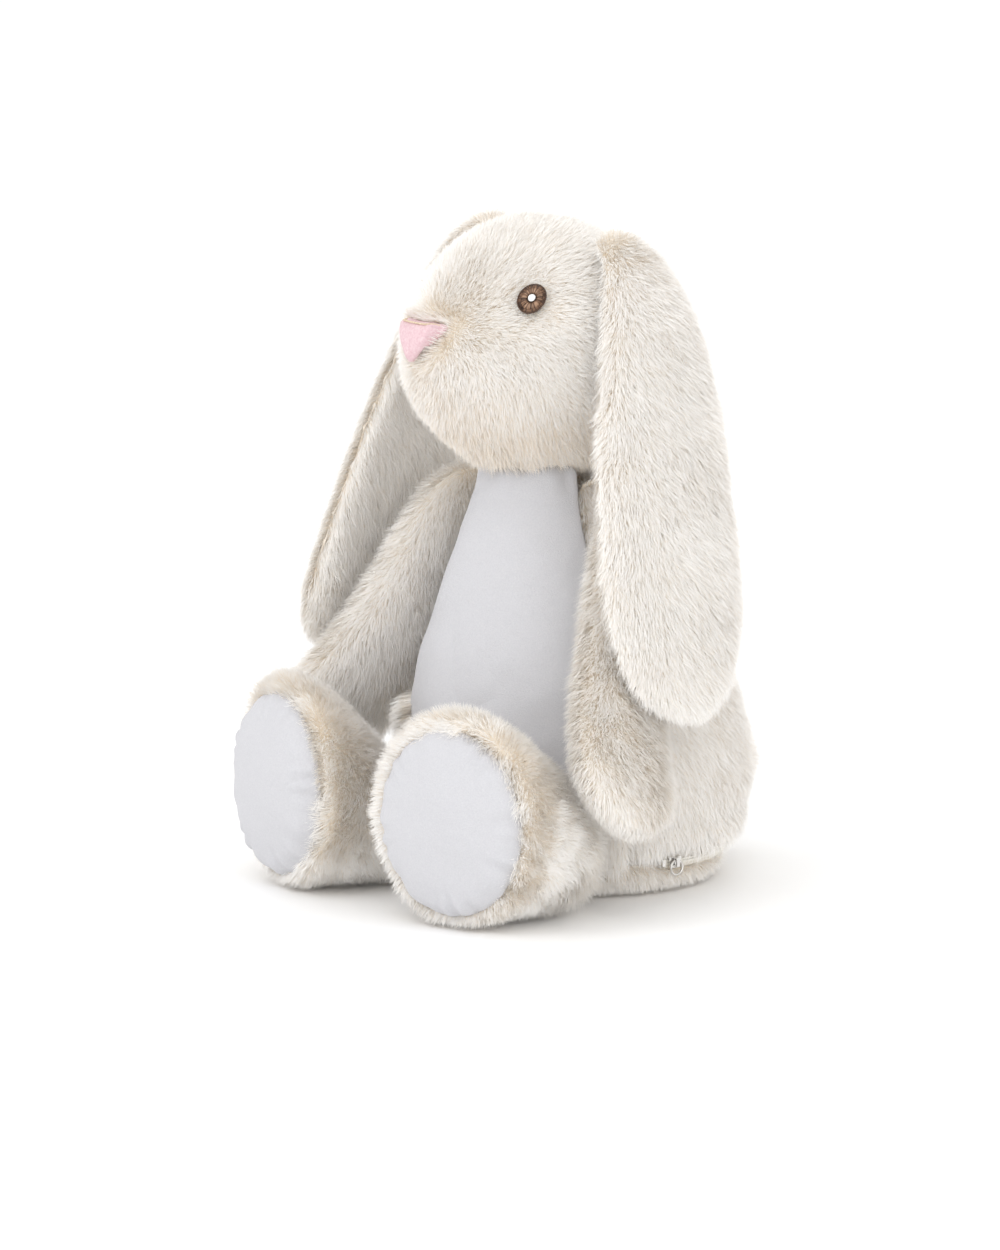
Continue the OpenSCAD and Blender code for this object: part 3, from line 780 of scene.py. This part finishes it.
def make_nose():
    """A puffed velour patch, laid on the muzzle along its rounded outline."""
    form = joined("nose_form", ["head_gusset", "head_side_left", "head_side_right", "nose_patch"])
    tree = BVHTree.FromPolygons([v.co for v in form.vertices], [tuple(f.vertices) for f in form.polygons])
    bpy.data.meshes.remove(form)
    ahead = Vector((nose_at - head_at) * [1, 1, 0]).normalized()

    def lay(a, share):
        """The point of the muzzle at an angle round the nose and a share of the way to its edge."""
        far = nose_outline(math.cos(a), math.sin(a)) * share
        x, z = nose_middle[0] + far * math.cos(a), nose_middle[1] + far * math.sin(a)
        return tree.ray_cast(Vector((x, nose_at[1], z)) + ahead * 0.06, -ahead)[0]

    front, back = [], []
    for i in range(NOSE_RINGS + 1):
        share = i / NOSE_RINGS
        for k in range(NOSE_SPOKES if i else 1):
            hit = lay(2 * math.pi * k / NOSE_SPOKES, share)
            front.append(hit + ahead * (0.0026 * (1 - share ** 4) - 0.0012))
            back.append(hit - ahead * 0.0030)
    ripple = waves(np.array(front), 0.008, 95)
    front = [q + ahead * (0.00022 * w) for q, w in zip(front, ripple)]
    ring = lambda i, k: 0 if i == 0 else 1 + (i - 1) * NOSE_SPOKES + k % NOSE_SPOKES
    faces = []
    for k in range(NOSE_SPOKES):
        faces.append((0, ring(1, k), ring(1, k + 1)))
        faces += [(ring(i, k), ring(i + 1, k), ring(i + 1, k + 1), ring(i, k + 1))
                  for i in range(1, NOSE_RINGS)]
    total = len(front)
    faces += [tuple(total + v for v in reversed(f)) for f in faces]
    edge = [ring(NOSE_RINGS, k) for k in range(NOSE_SPOKES + 1)]
    faces += [(a, total + a, total + b, b) for a, b in zip(edge[:-1], edge[1:])]
    obj = new_object("nose_velour", mesh_from("nose_velour", front + back, faces), [NOSE])
    bm = bmesh.new()
    bm.from_mesh(obj.data)
    bmesh.ops.recalc_face_normals(bm, faces=bm.faces)
    bm.to_mesh(obj.data)
    bm.free()
    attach(obj, "head")
    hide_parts("nose_patch")
    # The folded seam along the top edge: a tan thread along the real seam, its colour painted shade of the fold
    line = [lay(a, 0.97) + ahead * 0.0002 for a in np.linspace(SEAM_FROM, SEAM_TO, 25)]
    threads("nose_seam", [line], 0.00045, [SEAM_SHADE], "head")


def threads(name, lines, radius, mats, body, replaced=(), pick=None):
    """Short lengths of embroidery thread: a five-sided tube along each line of points. pick is each line's
    material, by its number in mats."""
    points, faces, index = [], [], []
    sides = 5
    for number, line in enumerate(lines):
        line = np.array(line)
        base = len(points)
        for i, q in enumerate(line):
            d = line[min(i + 1, len(line) - 1)] - line[max(i - 1, 0)]
            d /= np.linalg.norm(d)
            u = np.cross(d, [0.31, 0.74, 0.6])
            u /= np.linalg.norm(u)
            v = np.cross(d, u)
            taper = 0.55 if i in (0, len(line) - 1) else 1.0
            for s in range(sides):
                a = 2 * math.pi * s / sides
                points.append(q + (u * math.cos(a) + v * math.sin(a)) * radius * taper)
        for i in range(len(line) - 1):
            for s in range(sides):
                t = (s + 1) % sides
                faces.append((base + i * sides + s, base + i * sides + t, base + (i + 1) * sides + t,
                              base + (i + 1) * sides + s))
                index.append(number)
        faces.append(tuple(base + s for s in reversed(range(sides))))
        faces.append(tuple(base + (len(line) - 1) * sides + s for s in range(sides)))
        index += [number, number]
    mesh = mesh_from(name, points, faces)
    obj = new_object(name, mesh, mats)
    if pick is not None:
        mesh.polygons.foreach_set("material_index", [pick[i] for i in index])
    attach(obj, body)
    if replaced:
        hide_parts(*replaced)


THREAD = [material("thread_dark", (0.080, 0.042, 0.026), 0.45, specular=0.5),
          material("thread_brown", (0.20, 0.108, 0.062), 0.42, specular=0.5),
          material("thread_copper", (0.40, 0.245, 0.155), 0.4, specular=0.5)]
GLINT = [material("thread_white", (0.93, 0.92, 0.90), 0.5, specular=0.4)]


# An eye's two rings of stitches: where each starts and ends as shares of its radius, how many, and how raised
STITCH_RINGS = [(0.34, 0.80, 84, 0.0003), (0.70, 1.0, 96, 0.0)]
GLINT_LINES = 13


def make_eye(side):
    """An oval pad covered in radial stitches of three browns, with an outline and a small white glint."""
    co = coordinates(nodes["eye_" + side].data)
    middle = co.mean(0)
    _, _, axes = np.linalg.svd(co - middle)
    n = axes[2] * np.sign(axes[2] @ (middle - head_at))
    u, v = axes[0], np.cross(n, axes[0])
    u, v = u * np.abs((co - middle) @ u).max(), v * np.abs((co - middle) @ v).max()
    top = ((co - middle) @ n).max() - 0.0012
    rng = np.random.default_rng(91)
    lines, pick = [], []
    for ring, (inner, outer, count, lift) in enumerate(STITCH_RINGS):
        for i in range(count):
            a = 2 * math.pi * (i + rng.uniform(-0.2, 0.2)) / count
            line = []
            for t in (0, 0.33, 0.67, 1):
                r = inner + (outer - inner) * t * rng.uniform(0.97, 1.03)
                rise = top + lift + 0.0005 * math.sin(math.pi * t) - 0.0009 * r * r
                line.append(middle + u * (r * math.cos(a)) + v * (r * math.sin(a)) + n * rise)
            lines.append(line)
            shade = rng.random() - 0.30 * ring
            pick.append(0 if shade < 0.22 else (1 if shade < 0.72 else 2))
    threads(f"eye_{side}_stitches", lines, 0.00026, THREAD, "head", ["eye_" + side], pick)
    eye_pad(f"eye_{side}_base", middle, u * 0.98, v * 0.98, n, top - 0.0004)
    outline = [[middle + u * math.cos(a + t) + v * math.sin(a + t) + n * (top - 0.0002)
                for t in (-0.12, -0.04, 0.04, 0.12)] for a in np.linspace(0, 2 * math.pi, 40, endpoint=False)]
    threads(f"eye_{side}_outline", outline, 0.00034, THREAD[:1], "head")
    lines = []
    for i in range(GLINT_LINES):
        y = -1 + 2 * (i + 0.5) / GLINT_LINES
        x = math.sqrt(max(0.05, 1 - y * y))
        lines.append([middle + u * (0.25 * x * t) + v * (0.26 * y)
                      + n * (top + 0.0009 + 0.0003 * (1 - t * t)) for t in (-1, -0.4, 0.4, 1)])
    threads(f"eye_{side}_glint", lines, 0.00022, GLINT, "head", ["eye_glint_" + side])


PAD_THICK, PAD_RINGS, PAD_SPOKES = 0.0012, 6, 36


def eye_pad(name, middle, u, v, n, top):
    """The dark crowned oval below an eye's stitches."""
    points = [middle + n * top]
    for i in range(1, PAD_RINGS + 1):
        r = i / PAD_RINGS
        for s in range(PAD_SPOKES):
            a = 2 * math.pi * s / PAD_SPOKES
            crown = top - PAD_THICK * 0.5 * r ** 4
            points.append(middle + (u * math.cos(a) + v * math.sin(a)) * r + n * crown)
    last = len(points)
    points += [q - n * PAD_THICK for q in points[-PAD_SPOKES:]]
    points.append(middle - n * (PAD_THICK - top))
    after = [(s + 1) % PAD_SPOKES for s in range(PAD_SPOKES)]
    faces = [(0, 1 + s, 1 + t) for s, t in enumerate(after)]
    for i in range(PAD_RINGS):
        a, b = 1 + i * PAD_SPOKES, 1 + (i + 1) * PAD_SPOKES
        faces += [(a + s, b + s, b + t, a + t) for s, t in enumerate(after)]
    faces += [(len(points) - 1, last + t, last + s) for s, t in enumerate(after)]
    obj = new_object(name, mesh_from(name, points, faces), [THREAD[0]])
    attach(obj, "head")


# ---- fillings ----

def make_wadding(node, body):
    """Loose fibre: the CAD filling, remeshed and made lumpy."""
    obj = new_object(node + "_fibre", joined(node, [node]))
    remesh = obj.modifiers.new("remesh", "REMESH")
    remesh.mode, remesh.voxel_size = "VOXEL", 0.006
    bake_modifiers(obj)
    smooth_rounds(obj.data, 4)
    co, vn = coordinates(obj.data), vertex_normals(obj.data)
    set_coordinates(obj.data, co - vn * (0.0015 + 0.0008 * waves(co, 0.02, 7))[:, None])
    coat(obj.data, WADDING)
    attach(obj, body)
    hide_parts(node)


# ---- floor ----

FLOOR = 30     # half its side, in metres, so that its edge is never seen


def make_floor():
    mesh = mesh_from("floor", [(-FLOOR, -FLOOR, 0), (FLOOR, -FLOOR, 0), (FLOOR, FLOOR, 0), (-FLOOR, FLOOR, 0)],
                     [(0, 1, 2, 3)])
    mat = mottle(material("floor", (0.98, 0.98, 0.98), 0.9), [(0.975, 0.975, 0.975), (0.985, 0.985, 0.985)], 2)
    new_object("floor", mesh, [mat])


# ---- the whole rabbit ----

make_camera()
make_light()
make_floor()
make_head()
for number, side in enumerate(SIDES, 1):
    make_ear(side, 20 + number)
    make_arm(side, 40 + number)
    make_leg(side, 50 + number)
    make_eye(side)
make_body()
make_tummy()
make_seat()
make_tail()
make_nose()
for body_name, members in frame["record"]["behaviour"]["bodies"].items():
    for member in members:
        if "filling" in member and "leg" not in member and member != "body_pod":
            make_wadding(member, body_name)

# The zip keeps its CAD solids
for mat, names in ((TAPE, ("zip_tape_upper", "zip_tape_lower")),
                   (TEETH, ("zip_teeth_upper", "zip_teeth_lower")),
                   (METAL, ("zip_stop_left", "zip_stop_right", "zip_slider", "zip_pull_ring"))):
    for node in names:
        coat(nodes[node].data, mat)
